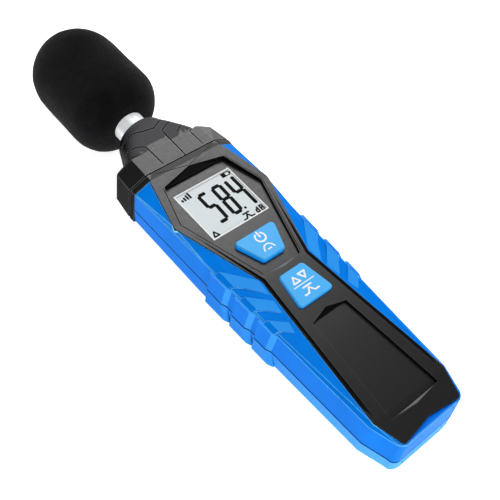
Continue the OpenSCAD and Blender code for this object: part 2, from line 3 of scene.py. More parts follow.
import bmesh
import bpy
from mathutils import Matrix, Vector, noise


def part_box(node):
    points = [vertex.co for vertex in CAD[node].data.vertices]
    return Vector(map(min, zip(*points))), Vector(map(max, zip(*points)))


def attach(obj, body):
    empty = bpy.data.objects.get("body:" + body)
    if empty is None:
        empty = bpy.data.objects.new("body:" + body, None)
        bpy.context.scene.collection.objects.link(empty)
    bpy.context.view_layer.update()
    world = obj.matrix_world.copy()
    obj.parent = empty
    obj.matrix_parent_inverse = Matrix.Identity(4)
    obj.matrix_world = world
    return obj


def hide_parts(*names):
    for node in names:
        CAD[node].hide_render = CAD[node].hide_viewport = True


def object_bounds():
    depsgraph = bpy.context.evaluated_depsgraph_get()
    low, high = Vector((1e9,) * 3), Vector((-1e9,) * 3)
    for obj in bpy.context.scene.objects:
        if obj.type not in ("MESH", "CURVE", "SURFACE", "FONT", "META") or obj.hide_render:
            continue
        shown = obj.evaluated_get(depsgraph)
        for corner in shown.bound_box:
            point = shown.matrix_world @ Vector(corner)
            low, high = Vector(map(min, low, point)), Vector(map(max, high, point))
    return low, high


# Sound level meter, in metres and in the CAD frame: +Y towards the microphone, +Z out of the front panel.
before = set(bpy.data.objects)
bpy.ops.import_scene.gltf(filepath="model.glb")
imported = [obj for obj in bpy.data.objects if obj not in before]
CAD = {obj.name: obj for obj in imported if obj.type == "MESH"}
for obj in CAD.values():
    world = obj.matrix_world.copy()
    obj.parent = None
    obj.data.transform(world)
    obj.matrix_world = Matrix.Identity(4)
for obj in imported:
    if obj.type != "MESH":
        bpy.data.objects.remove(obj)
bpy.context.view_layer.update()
MM = 0.001


# ---------- shader helpers ----------

BEVEL_SAMPLES = 4
CREASE_SAMPLES = 6
# cosine between the true and the rounded normal, at a full edge and at none
EDGE_TURN = (0.93, 0.992)
# change in the normal's Z, at no ridge and at a full one
RIDGE_TILT = (0.04, 0.16)
# share of open sky, in a full crease and in none
CREASE_SKY = (0.3, 0.75)
# distances from the parting line: full and no painted shade line, and full and no clearing of painted edge
# highlights
SEAM_LINE = (0.00028, 0.00042)
SEAM_CLEAR = (0.0006, 0.0009)
# the middle of a noise, where most of its values lie
NOISE_MIDDLE = (0.3, 0.7)
# features per metre of the slow tone drift and of the uneven gloss
DRIFT_SCALE = 45.0
GLOSS_SCALE = 700.0
# how many brushed marks there are along their axis, as a share of those across it
MARK_STRETCH = 0.02


def linear(code):
    """An sRGB hex code as a linear colour."""
    out = []
    for i in (1, 3, 5):
        c = int(code[i:i + 2], 16) / 255
        out.append(c / 12.92 if c <= 0.04045 else ((c + 0.055) / 1.055) ** 2.4)
    return (*out, 1.0)


def scaled(colour, k):
    """A colour k times as bright."""
    return (*[min(1.0, c * k) for c in colour[:3]], 1.0)


class Mat:
    """A Principled material with small helpers for the nodes that give it detail."""

    def __init__(self, name, base, rough, metal=0.0, **sockets):
        self.m = bpy.data.materials.new(name)
        self.m.use_nodes = True
        self.t = self.m.node_tree
        self.p = self.t.nodes["Principled BSDF"]
        self.p.inputs["Base Color"].default_value = base
        self.p.inputs["Roughness"].default_value = rough
        self.p.inputs["Metallic"].default_value = metal
        for k, v in sockets.items():
            self.p.inputs[k.replace("_", " ")].default_value = v
        self.coord = self.t.nodes.new("ShaderNodeTexCoord").outputs["Object"]
        self.normal = None

    def node(self, kind, **values):
        n = self.t.nodes.new(kind)
        for k, v in values.items():
            setattr(n, k, v)
        return n

    def link(self, a, b):
        self.t.links.new(a, b)

    def part(self, vector, axis):
        """One component of a vector."""
        n = self.node("ShaderNodeSeparateXYZ")
        self.link(vector, n.inputs["Vector"])
        return n.outputs[axis]

    def calc(self, operation, a, b=None):
        n = self.node("ShaderNodeMath", operation=operation)
        self.link(a, n.inputs[0])
        if b is not None:
            self.link(b, n.inputs[1])
        return n.outputs["Value"]

    def stretched(self, scale):
        n = self.node("ShaderNodeMapping")
        n.inputs["Scale"].default_value = scale
        self.link(self.coord, n.inputs["Vector"])
        return n.outputs["Vector"]

    def noise(self, scale, detail=3.0, rough=0.55, vector=None):
        n = self.node("ShaderNodeTexNoise")
        n.inputs["Scale"].default_value = scale
        n.inputs["Detail"].default_value = detail
        n.inputs["Roughness"].default_value = rough
        self.link(vector or self.coord, n.inputs["Vector"])
        return n.outputs["Fac"]

    def cells(self, scale, feature="F1"):
        n = self.node("ShaderNodeTexVoronoi", feature=feature)
        n.inputs["Scale"].default_value = scale
        self.link(self.coord, n.inputs["Vector"])
        return n.outputs["Distance"]

    def span(self, value, a, b, lo, hi):
        """The value's stretch from a to b, mapped to lo to hi."""
        n = self.node("ShaderNodeMapRange")
        for k, v in zip(("From Min", "From Max", "To Min", "To Max"), (a, b, lo, hi)):
            n.inputs[k].default_value = v
        self.link(value, n.inputs["Value"])
        return n.outputs["Result"]

    def mix(self, fac, a, b):
        n = self.node("ShaderNodeMix", data_type="RGBA")
        self.link(fac, n.inputs["Factor"])
        sockets = [s for s in n.inputs if s.type == "RGBA"]
        for value, socket in zip((a, b), sockets):
            if isinstance(value, tuple):
                socket.default_value = value
            else:
                self.link(value, socket)
        return [s for s in n.outputs if s.type == "RGBA"][0]

    def bump(self, height, distance, strength=1.0):
        n = self.node("ShaderNodeBump")
        n.inputs["Distance"].default_value = distance
        n.inputs["Strength"].default_value = strength
        self.link(height, n.inputs["Height"])
        if self.normal:
            self.link(self.normal, n.inputs["Normal"])
        self.normal = n.outputs["Normal"]
        self.link(self.normal, self.p.inputs["Normal"])

    def compared(self, operation, radius):
        """The rounded normal set against the true one."""
        rounded = self.node("ShaderNodeBevel", samples=BEVEL_SAMPLES)
        rounded.inputs["Radius"].default_value = radius
        n = self.node("ShaderNodeVectorMath", operation=operation)
        self.link(rounded.outputs["Normal"], n.inputs[0])
        self.link(self.node("ShaderNodeNewGeometry").outputs["True Normal"], n.inputs[1])
        return n.outputs

    def edges(self, radius):
        """1 on sharp edges and 0 on flats."""
        turn = self.compared("DOT_PRODUCT", radius)["Value"]
        return self.span(turn, EDGE_TURN[1], EDGE_TURN[0], 0.0, 1.0)

    def ridges(self, radius):
        """1 on edges between an upright face and a sloping one, and 0 elsewhere."""
        tilt = self.calc("ABSOLUTE", self.part(self.compared("SUBTRACT", radius)["Vector"], "Z"))
        return self.span(tilt, RIDGE_TILT[0], RIDGE_TILT[1], 0.0, 1.0)

    def seam(self, table, near, far):
        """1 within near of the parting line, whose height at each Y is in the table, and 0 beyond far."""
        (y0, z0), (y1, z1) = table[0], table[-1]
        curve = self.node("ShaderNodeFloatCurve")
        line = curve.mapping.curves[0]
        for y, z in table[1:-1]:
            line.points.new((y - y0) / (y1 - y0), (z - z0) / (z1 - z0))
        for point in line.points:
            point.handle_type = "VECTOR"
        curve.mapping.update()
        self.link(self.span(self.part(self.coord, "Y"), y0, y1, 0.0, 1.0), curve.inputs["Value"])
        height = self.span(curve.outputs["Value"], 0.0, 1.0, z0, z1)
        away = self.calc("ABSOLUTE", self.calc("SUBTRACT", self.part(self.coord, "Z"), height))
        return self.span(away, near, far, 1.0, 0.0)

    def creases(self, reach):
        """1 deep in grooves and inner corners and 0 in the open."""
        n = self.node("ShaderNodeAmbientOcclusion", samples=CREASE_SAMPLES, only_local=False)
        n.inputs["Distance"].default_value = reach
        return self.span(n.outputs["AO"], CREASE_SKY[1], CREASE_SKY[0], 0.0, 1.0)


def moulded(name, base, rough, tone=0.06, grain=2600.0, depth=0.000012, edge_highlight=None, highlight_width=0.0004, crease_shade=None,
            reach=0.001, gloss=0.04, fade=None, seam=None, flanks=None, **sockets):
    """Injection-moulded plastic: slow tone drift, spark-eroded grain and uneven gloss. These are optional:

    worn, rub: colour and width of a painted highlight on sharp edges, which with a seam is only on the ridges
    clear of it
    cavity, reach: colour and size of painted shade in grooves and inner corners
    fade: (y0, y1, colour) of a change along the case, painted as light falling on it
    seam: the parting line's table, whose gap is drawn dark as painted shade
    flanks: (z0, z1, colour) of painted shade on faces whose normals turn away from the front
    """
    k = Mat(name, base, rough, **sockets)
    drift = k.span(k.noise(DRIFT_SCALE, 4.0), *NOISE_MIDDLE, 0.0, 1.0)
    colour = k.mix(drift, scaled(base, 1 - tone), scaled(base, 1 + tone))
    if fade:
        colour = k.mix(k.span(k.part(k.coord, "Y"), fade[0], fade[1], 0.0, 1.0), colour, fade[2])
    if flanks:
        facing = k.part(k.node("ShaderNodeNewGeometry").outputs["Normal"], "Z")
        colour = k.mix(k.span(facing, flanks[0], flanks[1], 1.0, 0.0), colour, flanks[2])
    if edge_highlight:
        colour = k.mix(k.ridges(highlight_width) if seam else k.edges(highlight_width), colour, edge_highlight)
    if seam:
        colour = k.mix(k.seam(seam, *SEAM_CLEAR), colour, base)
    if crease_shade:
        colour = k.mix(k.creases(reach), colour, crease_shade)
    if seam:
        colour = k.mix(k.seam(seam, *SEAM_LINE), colour, SEAM_SHADE_BLUE)
    k.link(colour, k.p.inputs["Base Color"])
    uneven = k.span(k.noise(GLOSS_SCALE, 5.0), *NOISE_MIDDLE, rough - gloss, rough + gloss)
    k.link(uneven, k.p.inputs["Roughness"])
    k.bump(k.noise(grain, 2.0), depth)
    return k.m


def brushed(name, base, rough, marks, axis, depth=0.000006, metal=1.0, reflection_bands=None, **sockets):
    """Turned or drawn metal: fine marks that run along one axis, and with bands broad darker stripes, painted
    reflections.
    """
    k = Mat(name, base, rough, metal=metal, **sockets)

    def along(scale):
        return k.stretched(tuple(scale * (MARK_STRETCH if a == axis else 1.0) for a in "XYZ"))

    lines = k.noise(1.0, 6.0, 0.7, along(marks))
    k.link(k.span(lines, 0.25, 0.75, rough * 0.7, rough * 1.5), k.p.inputs["Roughness"])
    colour = k.mix(lines, scaled(base, 0.9), base)
    if reflection_bands:
        broad = k.noise(1.0, 1.0, 0.5, along(reflection_bands))
        colour = k.mix(k.span(broad, 0.44, 0.56, 0.0, 0.8), colour, scaled(base, 0.35))
    k.link(colour, k.p.inputs["Base Color"])
    k.bump(lines, depth)
    return k.m


# ---------- object helpers ----------

def paint(obj, material):
    obj.data.materials.clear()
    obj.data.materials.append(material)


def soften(obj, width, segments=2, angle=28):
    """Rounds the hard edges of a CAD node as a moulding's are."""
    flat = obj.modifiers.new("flats", "DECIMATE")
    flat.decimate_type = "DISSOLVE"
    flat.angle_limit = math.radians(0.6)
    b = obj.modifiers.new("round", "BEVEL")
    b.width = width
    b.segments = segments
    b.limit_method = "ANGLE"
    b.angle_limit = math.radians(angle)
    b.use_clamp_overlap = True
    b.harden_normals = True
    b.miter_outer = "MITER_ARC"


def placed(name, data):
    """A new object in the scene."""
    obj = bpy.data.objects.new(name, data)
    bpy.context.scene.collection.objects.link(obj)
    return obj


def new_piece(name, mesh, material, body, smooth=False):
    """A mesh piece that rides a body and has its own material slot."""
    obj = placed(name, mesh)
    mesh.materials.append(material)
    if smooth:
        mesh.polygons.foreach_set("use_smooth", [True] * len(mesh.polygons))
    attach(obj, body)
    return obj


def middle(lo, hi):
    """The X and Y of a box's middle."""
    return (lo.x + hi.x) / 2, (lo.y + hi.y) / 2


def arc(cx, cy, r, start, end, steps):
    """Points on an arc, whose angles are in degrees."""
    turns = [math.radians(start + (end - start) * i / steps) for i in range(steps + 1)]
    return [(cx + r * math.cos(a), cy + r * math.sin(a)) for a in turns]


# ---------- materials ----------

SEAM_GAP = 0.00022
# the front shell's outer lower edge lies between these heights
SEAM_HEIGHTS = (0.009, 0.0137)
# rows of vertices that reach less far out than this lie inside the shell or on its narrowing tail
SEAM_REACH = 0.0185
SEAM_SPACING = 0.003
# vertices this close to a row's widest one are on its outer edge
SEAM_EDGE = 0.0001


def seam_table():
    """The parting line's height along the case, half a gap below the front shell's lowest outer edge."""
    rows, table = {}, []
    for v in CAD["front_shell"].data.vertices:
        rows.setdefault(round(v.co.y, 4), []).append((abs(v.co.x), v.co.z))
    for y in sorted(rows):
        widest = max(x for x, z in rows[y])
        low = min(z for x, z in rows[y] if x > widest - SEAM_EDGE)
        outer = widest > SEAM_REACH and SEAM_HEIGHTS[0] < low < SEAM_HEIGHTS[1]
        if outer and (not table or y - table[-1][0] > SEAM_SPACING):
            table.append((y, low - SEAM_GAP))
    return table


BLUE = linear("#0280EE")
# painted highlight on sharp edges
EDGE_HIGHLIGHT_BLUE = linear("#86E2FF")
# painted shade in grooves and inner corners
CREASE_SHADE_BLUE = linear("#0644A8")
# painted shade in the parting line's gap, and in the creases of the rear and the rib steps
SEAM_SHADE_BLUE = linear("#021A48")
SEAM = seam_table()

# the shells: front, rear with a tail painted paler, rib tops painted lighter, rib steps painted darker, tail
# notch painted glowing
# front shell: painted highlight on its edges, painted shade in its creases and in the parting gap
blue_plastic = moulded("blue_plastic", BLUE, 0.45, tone=0.07, edge_highlight=EDGE_HIGHLIGHT_BLUE, highlight_width=0.0004, crease_shade=CREASE_SHADE_BLUE,
                       reach=0.0006, seam=SEAM, Specular_IOR_Level=0.03)
# rear and battery cover: painted paler towards the tail as light, with painted shade in creases and the
# parting gap
blue_back = moulded("blue_back", BLUE, 0.45, tone=0.07, crease_shade=SEAM_SHADE_BLUE, reach=0.0012, seam=SEAM,
                    fade=(0.0, -0.11, linear("#5AB6FF")), Specular_IOR_Level=0.03)
# rib tops and tail ramps painted lighter as a highlight, with painted shade in creases and the parting gap
blue_rib_highlight = moulded("blue_rib_highlight", linear("#2E9BFA"), 0.4, tone=0.07, crease_shade=CREASE_SHADE_BLUE, reach=0.0006,
                      seam=SEAM, Specular_IOR_Level=0.05)
# rib steps that face the head painted darker as shade, with painted shade in creases and the parting gap
blue_step = moulded("blue_step", linear("#0258B8"), 0.5, tone=0.07, crease_shade=SEAM_SHADE_BLUE, reach=0.0008,
                    seam=SEAM, Specular_IOR_Level=0.03)
# the tail notch painted brighter with a faint glow, as light
blue_notch_glow = moulded("blue_notch_glow", linear("#0474E8"), 0.45, tone=0.07, Specular_IOR_Level=0.03,
                     Emission_Color=linear("#0A5CD8"), Emission_Strength=0.3)

# the front panel: its level face, its facets and recess walls painted darker as shade, and facets painted
# light as a highlight
# the face and the shaded facets have painted highlights on edges and painted shade in creases
panel_plastic = moulded("panel_plastic", linear("#1B1B1C"), 0.36, tone=0.10, grain=3200.0, depth=0.00001,
                        edge_highlight=linear("#4A4A4C"), highlight_width=0.0003, crease_shade=linear("#030303"), reach=0.0022,
                        Specular_IOR_Level=0.45)
panel_shade = moulded("panel_shade", linear("#060607"), 0.6, tone=0.10, grain=3200.0, depth=0.00001,
                      edge_highlight=linear("#3A3A3C"), highlight_width=0.0002, crease_shade=linear("#010101"), reach=0.0022,
                      Specular_IOR_Level=0.15)
panel_glint = moulded("panel_glint", linear("#828080"), 0.35, tone=0.10, grain=3200.0, depth=0.00001,
                      Specular_IOR_Level=0.5)

# the nose housing: its collar, the collar's side walls painted darker as shade, and the nose painted light on
# top and dark on its sides
# all three have painted highlights on edges and painted shade in creases
collar_plastic = moulded("collar_plastic", linear("#161617"), 0.34, tone=0.10, grain=3000.0, depth=0.00001,
                         edge_highlight=linear("#8A8A8E"), crease_shade=linear("#030303"), reach=0.0012,
                         Specular_IOR_Level=0.38)
collar_shade = moulded("collar_shade", linear("#0B0B0C"), 0.5, tone=0.10, grain=3000.0, depth=0.00001,
                       edge_highlight=linear("#707074"), crease_shade=linear("#020202"), reach=0.0012,
                       Specular_IOR_Level=0.02)
nose_plastic = moulded("nose_plastic", linear("#505053"), 0.45, tone=0.06, grain=3000.0, depth=0.000004,
                       edge_highlight=linear("#98989C"), highlight_width=0.0003, crease_shade=linear("#010101"), reach=0.0035, gloss=0.01,
                       flanks=(0.4, 0.95, linear("#030303")), Specular_IOR_Level=0.02)

# the keys: tops with a faint painted glow and painted edge highlights, flanks with a stronger glow and
# painted crease shade
key_silicone = moulded("key_silicone", linear("#3EB0F0"), 0.45, tone=0.03, grain=3500.0, depth=0.000008,
                       edge_highlight=linear("#6FC6FF"), Specular_IOR_Level=0.35,
                       Emission_Color=linear("#1080E8"), Emission_Strength=0.15)
key_side = moulded("key_side", linear("#1E9CFA"), 0.5, tone=0.03, grain=3500.0, depth=0.000008,
                   crease_shade=linear("#02183A"), reach=0.0012, Specular_IOR_Level=0.1,
                   Emission_Color=linear("#0A8CF4"), Emission_Strength=0.45)

# the display and the prints
legend_white = moulded("legend_white", linear("#FBFCFD"), 0.5, tone=0.01)
lcd_ink = moulded("lcd_ink", linear("#030304"), 0.8, tone=0.2, Specular_IOR_Level=0.0)
# the display glass glows faintly, painted light
lcd_base = moulded("lcd_base", linear("#DEE6E9"), 0.5, tone=0.012, grain=9000.0, depth=0.000002,
                   Specular_IOR_Level=0.1, Emission_Color=linear("#DEE6E9"), Emission_Strength=0.2)
lcd_edge = moulded("lcd_edge", linear("#FCFDFD"), 0.5, tone=0.01)

# the inner parts
white_plastic = moulded("white_plastic", linear("#DAD9D5"), 0.5)
switch_plastic = moulded("switch_plastic", linear("#2A2A2C"), 0.5)
chip_epoxy = moulded("chip_epoxy", linear("#161617"), 0.6)
seal_rubber = moulded("seal_rubber", linear("#101011"), 0.8)
zebra_rubber = moulded("zebra_rubber", linear("#C08890"), 0.8)
wire_red = moulded("wire_red", linear("#B3201A"), 0.35)
cell_label = moulded("cell_label", linear("#B58A35"), 0.3)

# the metals
# the tube glows faintly, painted light, and its broad darker stripes are painted reflections
tube_metal = brushed("tube_metal", linear("#F8F9FA"), 0.3, 900.0, "Y", metal=0.2, reflection_bands=360.0,
                     Emission_Color=linear("#E8ECF0"), Emission_Strength=0.5)
screw_steel = brushed("screw_steel", linear("#B9BABC"), 0.3, 5000.0, "X")
grid_steel = brushed("grid_steel", linear("#C6C8CA"), 0.3, 5000.0, "X")
brass = brushed("brass", linear("#C79B45"), 0.3, 5000.0, "X")


def board_green():
    """A circuit board's lacquer over a net of tracks."""
    k = Mat("board_green", linear("#0C5A2A"), 0.3)
    tracks = k.cells(420.0, "DISTANCE_TO_EDGE")
    lacquer = k.mix(k.span(tracks, 0.0, 0.08, 0.0, 1.0), linear("#1F7A3C"), linear("#0B4A22"))
    k.link(lacquer, k.p.inputs["Base Color"])
    k.bump(tracks, 0.00002)
    return k.m


def window_clear():
    """The display's clear window, faintly uneven."""
    k = Mat("window_clear", (0.02, 0.02, 0.02, 1.0), 0.25, Alpha=0.05, IOR=1.49, Specular_IOR_Level=0.2)
    k.link(k.span(k.noise(500.0, 4.0), *NOISE_MIDDLE, 0.2, 0.3), k.p.inputs["Roughness"])
    return k.m


def open_cell_foam():
    """Black foam: pores, fine roughness between them and soft lumps."""
    k = Mat("open_cell_foam", linear("#0B0B0C"), 1.0, Sheen_Weight=0.05, Sheen_Roughness=0.55,
            Sheen_Tint=(0.75, 0.76, 0.80, 1.0), Specular_IOR_Level=0.15)
    pores = k.cells(1500.0)
    fine = k.noise(3800.0, 3.0, 0.7)
    lumps = k.noise(160.0, 3.0)
    shade = k.mix(k.span(pores, 0.15, 0.75, 0.0, 1.0), linear("#101012"), linear("#050506"))
    shade = k.mix(k.span(lumps, 0.35, 0.7, 0.0, 0.5), shade, linear("#161618"))
    k.link(shade, k.p.inputs["Base Color"])
    k.bump(lumps, 0.0003, 0.25)
    k.bump(pores, 0.0002, 0.6)
    k.bump(fine, 0.0001, 0.8)
    return k.m


board = board_green()
for names, material in (
    (("front_shell",), blue_plastic),
    (("rear_shell", "battery_cover"), blue_back),
    (("front_panel",), panel_plastic),
    (("nose_housing",), collar_plastic),
    (("power_button", "mode_button"), key_silicone),
    (("display_lens",), window_clear()),
    (("display_glass",), lcd_base),
    (("display_holder",), white_plastic),
    (("zebra_strips",), zebra_rubber),
    (("power_switch", "mode_switch"), switch_plastic),
    (("main_board", "mic_board"), board),
    (("meter_chips",), chip_epoxy),
    (("board_screws", "case_screws", "cover_screw", "battery_springs", "battery_plates"), screw_steel),
    (("mic_tube", "mic_capsule"), tube_metal),
    (("mic_grid",), grid_steel),
    (("mic_wires", "battery_wires"), wire_red),
    (("tube_seal",), seal_rubber),
    (("battery_1", "battery_2", "battery_3"), cell_label),
    (("tripod_nut",), brass),
):
    for name in names:
        paint(CAD[name], material)


# ---------- painted light and shade on single faces ---

def shade_faces(name, shaded_copies, choose):
    """Adds lit and shaded copies after a node's first material, and gives each face the one that choose
    picks, from 0.
    """
    mesh = CAD[name].data
    for material in shaded_copies:
        mesh.materials.append(material)
    for face in mesh.polygons:
        face.material_index = choose(face.normal, face.center)


def panel_shading(n, c):
    """The level face is 0, sloping facets and recess walls painted darker as shade 1, and facets painted
    light as a highlight 2.
    """
    if 0.3 < n.y < 0.7 and n.z > 0.7 and abs(c.x) < 0.002:
        return 2
    return 1 if n.z < 0.985 else 0


# the stretch of the case that has grip ribs, and how far out from the middle and up from the back they start
RIBS_Y = (-0.062, -0.006)
RIBS_X = 0.0135
RIBS_Z = 0.002
# faces that lean outwards less than this are the tops of ribs
TOP_LEAN = math.radians(9.0)
NOTCH_Y = -0.1


def shell_shading(n, c):
    """Plain plastic is 0, rib tops and tail ramps painted lighter 1, steps to the head painted darker 2, and
    the tail's notch, which glows, 3.
    """
    if c.y < NOTCH_Y and 0.1 < n.y < 0.5 and n.z > 0.8:
        return 3
    if RIBS_Y[0] < c.y < RIBS_Y[1] and abs(c.x) > RIBS_X and c.z > RIBS_Z:
        if n.y > 0.2:
            return 2
        tail_ramp = n.y < -0.2 and n.z < 0.5
        top = n.z > 0.5 and math.atan2(n.x * math.copysign(1, c.x), n.z) < TOP_LEAN
        if tail_ramp or top:
            return 1
    return 0


NOSE_LENGTH = 0.0175
nose_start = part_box("nose_housing")[1].y - NOSE_LENGTH


def nose_shading(n, c):
    """The collar is 0, the nose 1 and the collar's side walls, painted darker as shade, 2."""
    if c.y > nose_start:
        return 1
    return 2 if n.z < 0.75 else 0


def key_shading(n, c):
    """A key's top is 0 and its flanks, which glow as painted light, are 1."""
    return 1 if n.z < 0.7 else 0


shade_faces("front_panel", (panel_shade, panel_glint), panel_shading)
for name in ("front_shell", "rear_shell"):
    shade_faces(name, (blue_rib_highlight, blue_step, blue_notch_glow), shell_shading)
for name in ("power_button", "mode_button"):
    shade_faces(name, (key_side,), key_shading)
shade_faces("nose_housing", (nose_plastic, collar_shade), nose_shading)

for name, width in (("rear_shell", 0.00015), ("front_shell", 0.00015), ("front_panel", 0.00012),
                    ("nose_housing", 0.00012), ("power_button", 0.0003), ("mode_button", 0.0003),
                    ("battery_cover", 0.0002)):
    soften(CAD[name], width)


# ---------- foam windscreen ----------

AROUND = 160
# a profile point this near the axis is on it
ON_AXIS = 1e-6
# the skin stays this far inside the CAD solid, so that its lumps do not pass it
SKIN_INSET = 0.0002
BORE_GAP = 0.00012
MOUTH_DEPTH = 0.006
MOUTH_STEP = 0.00098
MOUTH_LIP = 0.0003
MOUTH_FLAT = 0.0007
# the skin's slow and fine lumps: features per metre and height, and how far the skin is drawn in for them
LUMPS = ((90.0, 0.00022), (420.0, 0.00010))
SKIN_SINK = 0.00016
# points nearer the axis than this, past the bore, stay smooth
SMOOTH_MOUTH = 0.0008


def foam_profile(radius, length, bore):
    """Radius and distance from the mouth: bore, lip, rounded base, straight side and domed end."""
    base_r = radius - bore - MOUTH_FLAT
    straight = length - radius - base_r
    profile = [(bore, MOUTH_DEPTH - MOUTH_STEP * i) for i in range(7)]
    profile += arc(bore + MOUTH_LIP, MOUTH_LIP, MOUTH_LIP, 180, 270, 7)
    profile += arc(radius - base_r, base_r, base_r, -90, 0, 24)
    profile += [(radius, base_r + straight * i / 16) for i in range(1, 16)]
    profile += arc(0, length - radius, radius, 0, 90, 40)
    return profile


def turned(profile, axis_x, axis_z, start):
    """A skin turned round an axis along Y, closed where the profile meets the axis."""
    bm = bmesh.new()
    rings = []
    for r, y in profile:
        if r < ON_AXIS:
            rings.append([bm.verts.new((axis_x, start + y, axis_z))])
            continue
        turns = [2 * math.pi * j / AROUND for j in range(AROUND)]
        rings.append([bm.verts.new((axis_x + r * math.cos(a), start + y, axis_z + r * math.sin(a)))
                      for a in turns])
    for a, b in zip(rings, rings[1:]):
        for j in range(AROUND):
            k = (j + 1) % AROUND
            if len(b) == 1:
                bm.faces.new((a[j], b[0], a[k]))
            else:
                bm.faces.new((a[j], b[j], b[k], a[k]))
    bmesh.ops.recalc_face_normals(bm, faces=bm.faces)
    bm.normal_update()
    return bm


def foam_windscreen():
    """The foam, turned to the CAD solid's own size, with softly uneven skin outside its bore."""
    lo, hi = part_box("windscreen")
    tube_lo, tube_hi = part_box("mic_tube")
    axis_x, axis_z = (lo.x + hi.x) / 2, (lo.z + hi.z) / 2
    bore = (tube_hi.x - tube_lo.x) / 2 + BORE_GAP
    profile = foam_profile((hi.x - lo.x) / 2 - SKIN_INSET, hi.y - lo.y - 2 * SKIN_INSET, bore)
    bm = turned(profile, axis_x, axis_z, lo.y + SKIN_INSET)
    for v in bm.verts:
        if Vector((v.co.x - axis_x, v.co.z - axis_z)).length >= bore + SMOOTH_MOUTH:
            v.co += v.normal * (sum(noise.noise(v.co * scale) * high for scale, high in LUMPS) - SKIN_SINK)
    mesh = bpy.data.meshes.new("foam_windscreen")
    bm.to_mesh(mesh)
    bm.free()
    foam = new_piece("foam_windscreen", mesh, open_cell_foam(), "foam_ball", smooth=True)
    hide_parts("windscreen")


foam_windscreen()


# ---------- printed marks and display segments ----------

# a print's thickness and how far its top stands off, and the steps in height that keep crossing strokes apart
PRINT_THICK = 0.00003
KEY_PRINT_LIFT = 0.00003
GLASS_PRINT_LIFT = 0.00004
LENS_PRINT_LIFT = 0.00002
STROKE_STEP = 0.000002
STROKE_LEVELS = 11


def sheet_mesh(name, outlines, z):
    """Flat printed shapes, each an outline in the X-Y plane, with a little body under them."""
    bm = bmesh.new()
    for i, outline in enumerate(outlines):
        top = [bm.verts.new((x, y, z + STROKE_STEP * (i % STROKE_LEVELS))) for x, y in outline]
        face = bm.faces.new(top)
        if face.normal.z < 0:
            face.normal_flip()
        face.normal_update()
        low = bmesh.ops.extrude_face_region(bm, geom=[face], use_keep_orig=True)
        sunk = [g for g in low["geom"] if isinstance(g, bmesh.types.BMVert)]
        bmesh.ops.translate(bm, verts=sunk, vec=(0, 0, -PRINT_THICK))
    bmesh.ops.recalc_face_normals(bm, faces=bm.faces)
    mesh = bpy.data.meshes.new(name)
    bm.to_mesh(mesh)
    bm.free()
    return mesh


def bar(a, b, width, cut=0.5, around=5):
    """A stroke from a to b with clipped ends, or rounded ones where cut is 1."""
    a, b = Vector(a), Vector(b)
    along = (b - a).normalized()
    side = Vector((-along.y, along.x)) * width / 2
    pts = []
    for end, sign, order in ((a, -1, range(around + 1)), (b, 1, range(around, -1, -1))):
        for i in order:
            t = math.radians(-90 + 180 * i / around)
            pts.append(end + side * math.sin(t) + along * sign * math.cos(t) * width / 2 * cut)
    return [(p.x, p.y) for p in pts]


def rect(x0, y0, x1, y1):
    return [(x0, y0), (x1, y0), (x1, y1), (x0, y1)]


def frame_of(x0, y0, x1, y1, rim):
    """Four strips round the inside of a rectangle."""
    return [rect(x0, y0, x1, y0 + rim), rect(x0, y1 - rim, x1, y1), rect(x0, y0 + rim, x0 + rim, y1 - rim),
            rect(x1 - rim, y0 + rim, x1, y1 - rim)]


def moved(outlines, dx, dy):
    """Outlines in millimetres, as metres about a place."""
    return [[(dx + x * MM, dy + y * MM) for x, y in o] for o in outlines]


# in a unit square: the unit's two letters, level bars, a peak, a filter curve, and up and down triangles
GLYPHS = {
    "B": [[(0.72, 0.52), (0.92, 0.66), (0.92, 0.88), (0.72, 1), (0, 1), (0, 0), (0.76, 0), (1, 0.15),
           (1, 0.38), (0.72, 0.52), (0, 0.52)]],
    "d": [[(0.95, 1), (0.95, 0)], [(0.95, 0.12), (0.7, 0), (0.3, 0), (0.04, 0.2), (0.04, 0.46), (0.3, 0.66),
                                   (0.7, 0.66), (0.95, 0.52)]],
    "bars": [[(0.0, 0), (0.0, 0.3)], [(0.33, 0), (0.33, 0.55)], [(0.67, 0), (0.67, 0.8)],
             [(1.0, 0), (1.0, 1)]],
    "peak": [[(0, 0), (0.28, 0), (0.5, 0.78), (0.72, 0), (1, 0)], [(0.22, 1.05), (0.78, 1.05)]],
    "curve": [[(0, 0), (0.1, 0.5), (0.28, 0.9), (0.5, 1), (0.72, 0.9), (0.9, 0.5), (1, 0)],
              [(0.34, 0), (0.66, 0)]],
    "up": [[(0, 0), (0.5, 0.95), (1, 0), (0, 0)]],
    "down": [[(0, 1), (0.5, 0.05), (1, 1), (0, 1)]],
}


# the gap between two symbols in a row, in stroke widths
SYMBOL_GAP = 1.6


def symbols(names, x, y, high, wide, weight, cut=1.0):
    """A row of generic stroke symbols as bars, centred on x, y, all of one height and width."""
    step = wide + weight * SYMBOL_GAP
    left = x - (step * (len(names) - 1) + wide) / 2
    bars = []
    for i, name in enumerate(names):
        for line in GLYPHS[name]:
            pts = [(left + step * i + px * wide, y - high / 2 + py * high) for px, py in line]
            bars += [bar(a, b, weight, cut) for a, b in zip(pts, pts[1:])]
    return bars


